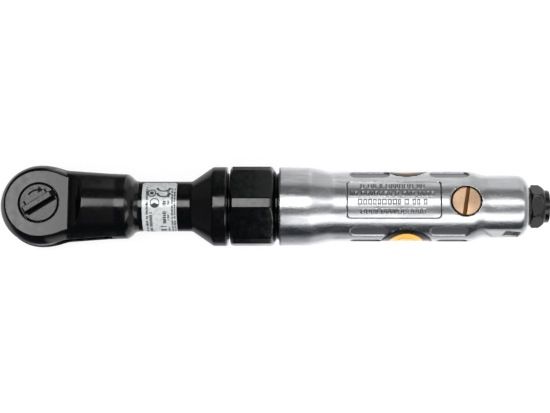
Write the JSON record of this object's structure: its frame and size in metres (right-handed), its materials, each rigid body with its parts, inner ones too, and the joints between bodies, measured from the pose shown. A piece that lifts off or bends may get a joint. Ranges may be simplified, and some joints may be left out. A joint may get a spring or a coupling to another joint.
{
  "type": "air ratchet",
  "caption": "Inline air ratchet wrench: reversible square-drive head on a slim neck, hexagonal ring-gear coupling and a cast grip holding a vane motor, throttle lever and air inlet",
  "frame": {"origin": "centre of the square drive's end face", "axes": "+X along the tool from the head to the air inlet, -Z out of the square drive, +Z out of the reverse knob, +Y to the left of someone who looks from the inlet towards the head with the knob up"},
  "size_m": [0.2597, 0.038, 0.0451],
  "materials": {
    "black_enamel": "gloss black baked enamel",
    "black_steel": "turned steel, blackened and oiled",
    "cast_aluminium": "die-cast, linished along its length",
    "steel": "ground and hardened",
    "bearing_steel": "polished bearing steel",
    "spring_steel": "bright drawn wire",
    "brass": "turned brass",
    "bronze": "sintered bronze",
    "vane_fibre": "laminated phenolic",
    "rubber": "nitrile rubber",
    "label_white": "printed polyester film",
    "badge_black": "printed polyester badge",
    "gasket_fibre": "pressed fibre gasket"
  },
  "bodies": {
    "body": {"ratchet_head": "black_enamel", "anvil_thrust_washer": "steel", "friction_washer": "spring_steel", "anvil_retaining_ring": "spring_steel", "neck_label": "label_white", "needle_bearing_shell": "bearing_steel", "hex_ring_gear": "black_steel", "front_end_plate": "steel", "front_bearing_outer": "bearing_steel", "motor_cylinder": "steel", "cylinder_dowel": "bearing_steel", "rear_end_plate": "steel", "rear_bearing_outer": "bearing_steel", "motor_gasket": "gasket_fibre", "motor_housing": "cast_aluminium", "badge_left": "badge_black", "badge_right": "badge_black", "exhaust_screen": "bronze", "lever_pin": "bearing_steel", "valve_spring": "spring_steel", "inlet_bushing": "black_steel", "inlet_seal": "rubber", "inlet_screen": "bronze"},
    "rotor": {"rotor": "steel", "vane_1": "vane_fibre", "vane_2": "vane_fibre", "vane_3": "vane_fibre", "vane_4": "vane_fibre", "vane_5": "vane_fibre", "front_bearing_inner": "bearing_steel", "rear_bearing_inner": "bearing_steel"},
    "front_cage": {"front_bearing_balls": "bearing_steel"},
    "rear_cage": {"rear_bearing_balls": "bearing_steel"},
    "crank": {"crankshaft": "steel", "planet_pin_1": "bearing_steel", "planet_pin_2": "bearing_steel", "planet_pin_3": "bearing_steel", "carrier_plate": "steel"},
    "planet_1": {"planet_gear_1": "steel"},
    "planet_2": {"planet_gear_2": "steel"},
    "planet_3": {"planet_gear_3": "steel"},
    "needle_cage": {"needle_rollers": "bearing_steel"},
    "bushing": {"drive_bushing": "bronze"},
    "yoke": {"ratchet_yoke": "steel"},
    "anvil": {"ratchet_anvil": "steel", "pawl_pin": "bearing_steel", "detent_spring": "spring_steel"},
    "knob": {"reverse_knob": "black_steel", "knob_plunger": "bearing_steel", "knob_spring": "spring_steel"},
    "pawl": {"pawl": "steel"},
    "detent": {"socket_detent_ball": "bearing_steel"},
    "lever": {"throttle_lever": "steel"},
    "valve": {"valve_ball": "rubber", "valve_pin": "bearing_steel"},
    "regulator": {"regulator": "brass", "regulator_oring": "rubber"}
  },
  "joints": [
    {"name": "rotor_spin", "type": "hinge", "parent": "body", "child": "rotor", "pos_m": [0.14, 0, 0.025], "axis": [1, 0, 0], "continuous": true},
    {"name": "crank_spin", "type": "hinge", "parent": "body", "child": "crank", "pos_m": [0.07, 0, 0.025], "axis": [1, 0, 0], "continuous": true},
    {"name": "planet_1_spin", "type": "hinge", "parent": "crank", "child": "planet_1", "pos_m": [0.096, 0.0084, 0.025], "axis": [1, 0, 0], "continuous": true},
    {"name": "planet_2_spin", "type": "hinge", "parent": "crank", "child": "planet_2", "pos_m": [0.096, -0.0042, 0.03227], "axis": [1, 0, 0], "continuous": true},
    {"name": "planet_3_spin", "type": "hinge", "parent": "crank", "child": "planet_3", "pos_m": [0.096, -0.0042, 0.01773], "axis": [1, 0, 0], "continuous": true},
    {"name": "needle_spin", "type": "hinge", "parent": "body", "child": "needle_cage", "pos_m": [0.056, 0, 0.025], "axis": [1, 0, 0], "continuous": true},
    {"name": "front_cage_spin", "type": "hinge", "parent": "body", "child": "front_cage", "pos_m": [0.1125, 0, 0.025], "axis": [1, 0, 0], "continuous": true},
    {"name": "rear_cage_spin", "type": "hinge", "parent": "body", "child": "rear_cage", "pos_m": [0.165, 0, 0.025], "axis": [1, 0, 0], "continuous": true},
    {"name": "bushing_spin", "type": "hinge", "parent": "crank", "child": "bushing", "pos_m": [0.0246, 0.0016, 0.025], "axis": [1, 0, 0], "continuous": true},
    {"name": "yoke_swing", "type": "hinge", "parent": "body", "child": "yoke", "pos_m": [0, 0, 0.025], "axis": [0, 0, 1], "range_deg": [-3.7, 3.7]},
    {"name": "anvil_turn", "type": "hinge", "parent": "body", "child": "anvil", "pos_m": [0, 0, 0.025], "axis": [0, 0, 1], "continuous": true},
    {"name": "knob_turn", "type": "hinge", "parent": "anvil", "child": "knob", "pos_m": [0, 0, 0.025], "axis": [0, 0, 1], "range_deg": [-64, 0]},
    {"name": "pawl_flip", "type": "hinge", "parent": "anvil", "child": "pawl", "pos_m": [-0.0064, 0, 0.025], "axis": [0, 0, 1], "range_deg": [0, 12]},
    {"name": "detent_slide", "type": "slide", "parent": "anvil", "child": "detent", "axis": [1, 0, 0], "range_m": [0, 0.0009], "stiffness_N_per_m": 300, "springref_m": -0.001},
    {"name": "lever_press", "type": "hinge", "parent": "body", "child": "lever", "pos_m": [0.222, 0, 0.008], "axis": [0, 1, 0], "range_deg": [0, 4.6], "stiffness_Nm_per_rad": 2, "springref_deg": -17.19},
    {"name": "valve_slide", "type": "slide", "parent": "body", "child": "valve", "axis": [0, 0, 1], "range_m": [0, 0.0018], "deforming": ["valve_spring"]},
    {"name": "regulator_turn", "type": "hinge", "parent": "body", "child": "regulator", "pos_m": [0.2003, 0, 0.025], "axis": [0, 0, 1], "range_deg": [-45, 45]}
  ],
  "couplings": [
    {"joint": "crank_spin", "follows": "rotor_spin", "ratio": 0.21429},
    {"joint": "planet_1_spin", "follows": "rotor_spin", "ratio": -0.58929},
    {"joint": "planet_2_spin", "follows": "rotor_spin", "ratio": -0.58929},
    {"joint": "planet_3_spin", "follows": "rotor_spin", "ratio": -0.58929},
    {"joint": "needle_spin", "follows": "rotor_spin", "ratio": 0.0875},
    {"joint": "front_cage_spin", "follows": "rotor_spin", "ratio": 0.4},
    {"joint": "rear_cage_spin", "follows": "rotor_spin", "ratio": 0.38333},
    {"joint": "bushing_spin", "follows": "rotor_spin", "ratio": -0.21429},
    {"joint": "pawl_flip", "follows": "knob_turn", "ratio": -0.1875},
    {"joint": "valve_slide", "follows": "lever_press", "m_per_rad": 0.0217}
  ]
}
